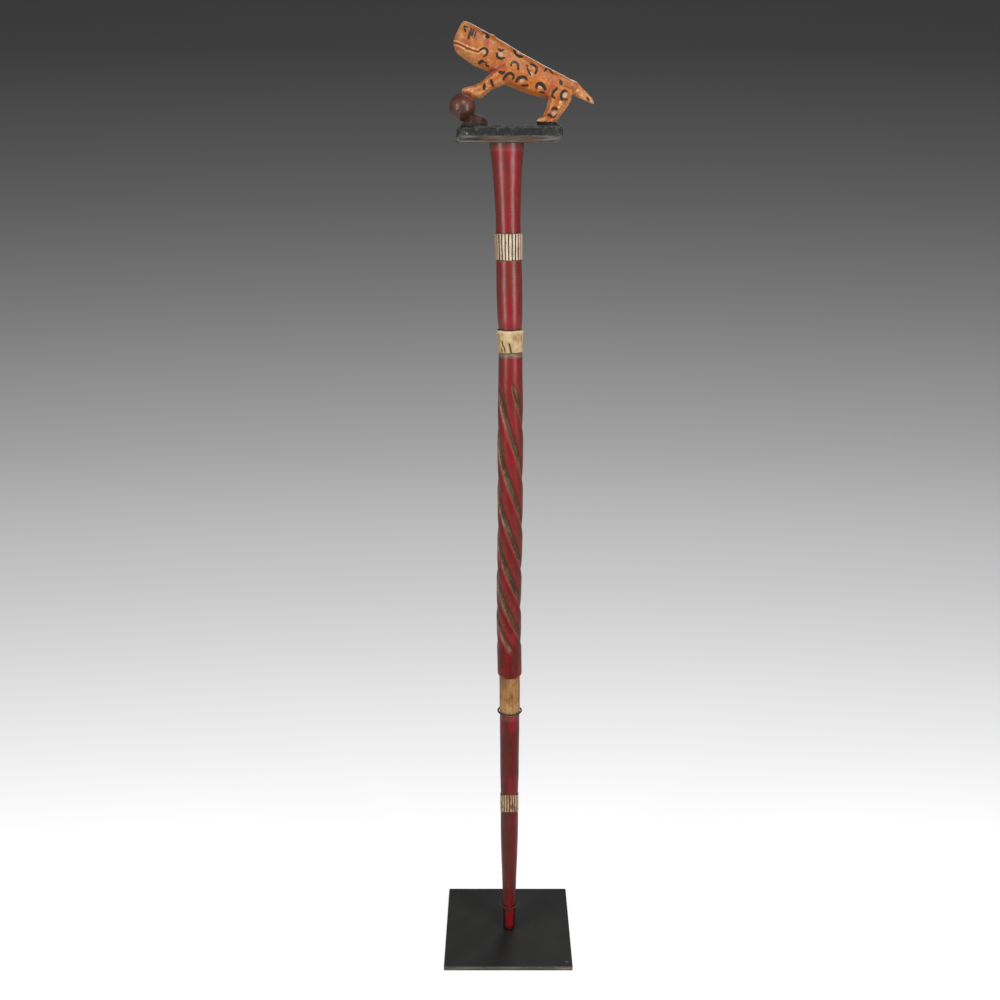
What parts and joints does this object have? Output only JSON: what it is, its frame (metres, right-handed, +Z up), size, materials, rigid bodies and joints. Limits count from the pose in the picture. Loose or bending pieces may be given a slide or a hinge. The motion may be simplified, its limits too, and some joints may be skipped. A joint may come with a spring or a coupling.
{
  "type": "linguist staff",
  "caption": "Carved and painted wooden linguist staff with a twisted shaft and a leopard finial that rests its paws on a ball, held upright on a square steel display stand.",
  "frame": {"origin": "middle of the stand plate's underside", "axes": "+Z up along the staff, -Y to the front, and the leopard's head towards -X"},
  "size_m": [0.2703, 0.254, 1.7523],
  "materials": {
    "stand_black": "satin black paint on steel",
    "shaft_paint": "dark red oil paint, worn and waxed, with cream and tan bands",
    "finial_paint": "ochre orange paint with black markings, a brown ball and a black plaque"
  },
  "bodies": {
    "root": {"stand_plate": "stand_black", "stand_rod": "stand_black", "upper_ring": "stand_black", "lower_ring": "stand_black", "lower_shaft": "shaft_paint", "upper_shaft": "shaft_paint", "finial": "finial_paint"}
  },
  "joints": []
}
